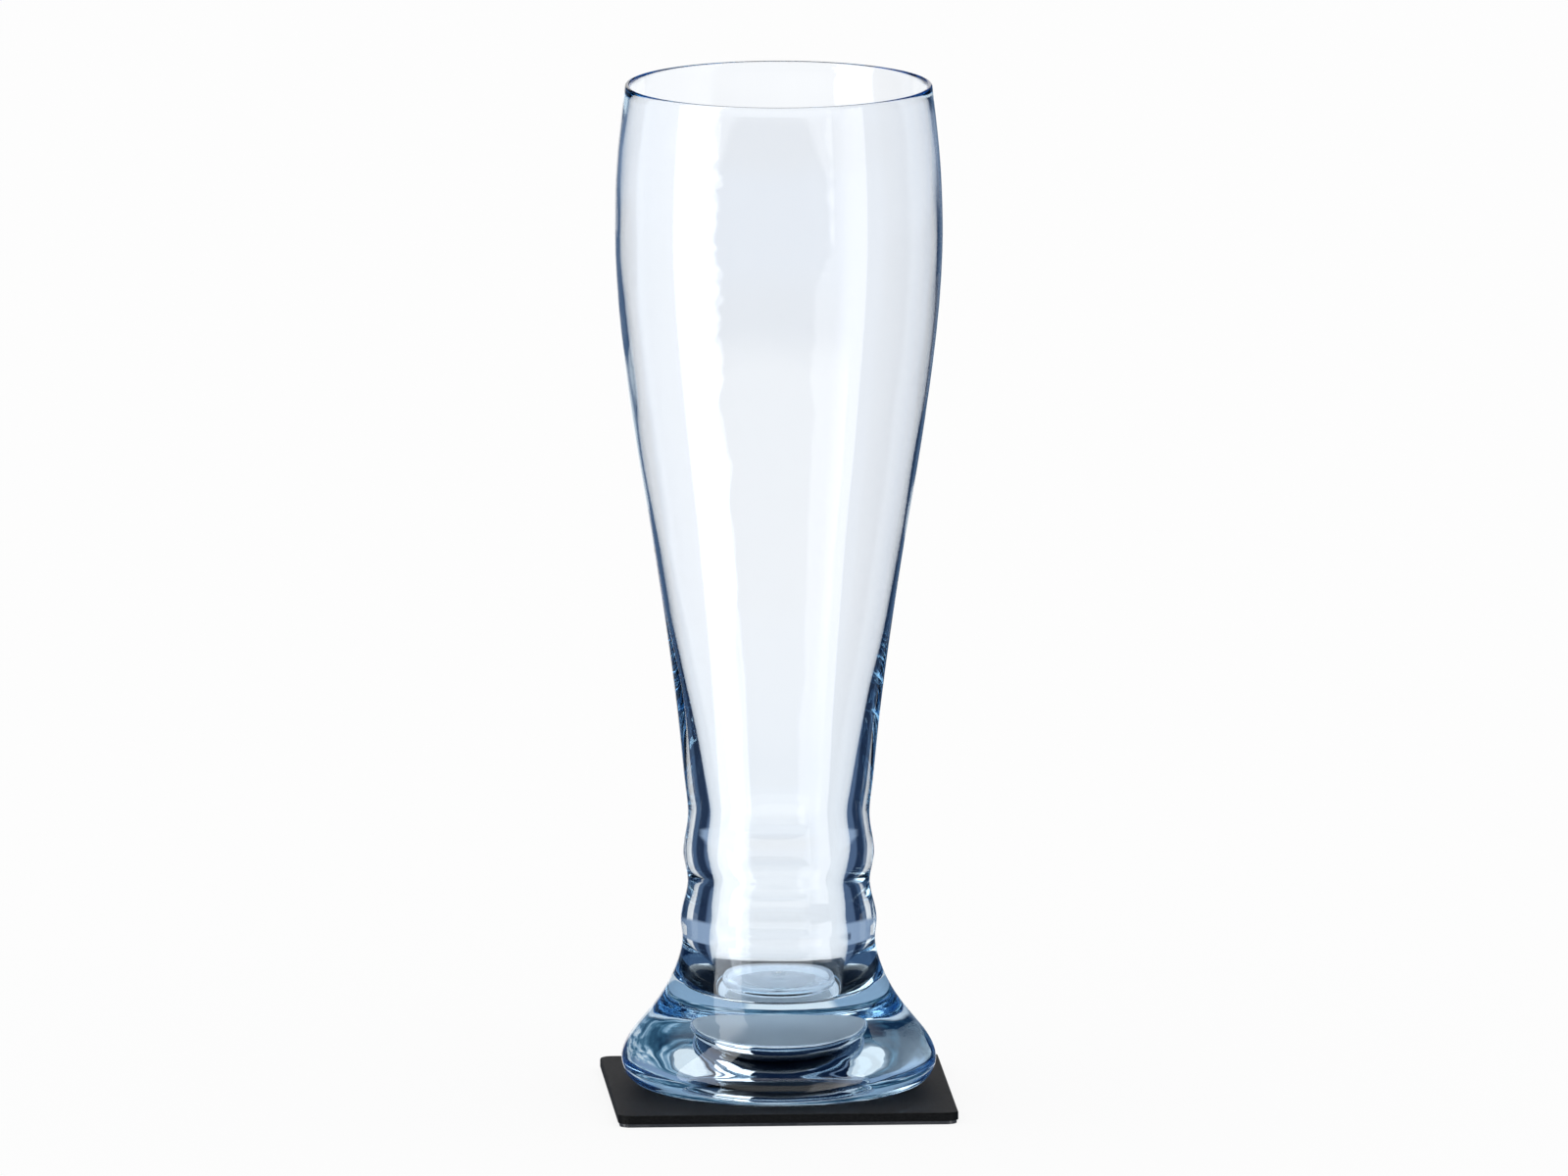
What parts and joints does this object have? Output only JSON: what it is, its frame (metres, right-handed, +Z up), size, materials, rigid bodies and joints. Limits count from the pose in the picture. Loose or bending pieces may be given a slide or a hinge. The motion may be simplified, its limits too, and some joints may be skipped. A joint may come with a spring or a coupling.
{
  "type": "beer glass",
  "caption": "Tall wheat beer glass with a beaded waist and a thick flared foot that holds a magnet, standing on a thin square magnetic coaster that it lifts off.",
  "frame": {"origin": "on the table, under the middle of the coaster and on the axis of the glass", "axes": "+Z up along the axis of the glass, +X and +Y along the sides of the coaster, -Y towards the viewer"},
  "size_m": [0.084, 0.084, 0.2533],
  "materials": {
    "clear_glass": "fire polished, clear with a faint blue tint in the thick foot",
    "polished_steel": "mirror polished side, satin top",
    "nickel_plate": "plated",
    "clear_bond": "clear resin, cured against the glass and the steel",
    "cover_polymer": "matt",
    "grained_black": "fine matt grain",
    "sheet_steel": "plain sheet",
    "grip_gel": "smooth, slightly tacky"
  },
  "bodies": {
    "coaster": {"coaster_cover": "grained_black", "coaster_steel_plate": "sheet_steel", "coaster_gel_sheet": "grip_gel"},
    "glass": {"glass_vessel": "clear_glass", "magnet_housing": "polished_steel", "magnet_disc": "nickel_plate", "bond_layer": "clear_bond", "foot_cover": "cover_polymer"}
  },
  "joints": [
    {"name": "glass_lift", "type": "slide", "parent": "coaster", "child": "glass", "axis": [0, 0, 1], "range_m": [0, 0.12]}
  ]
}
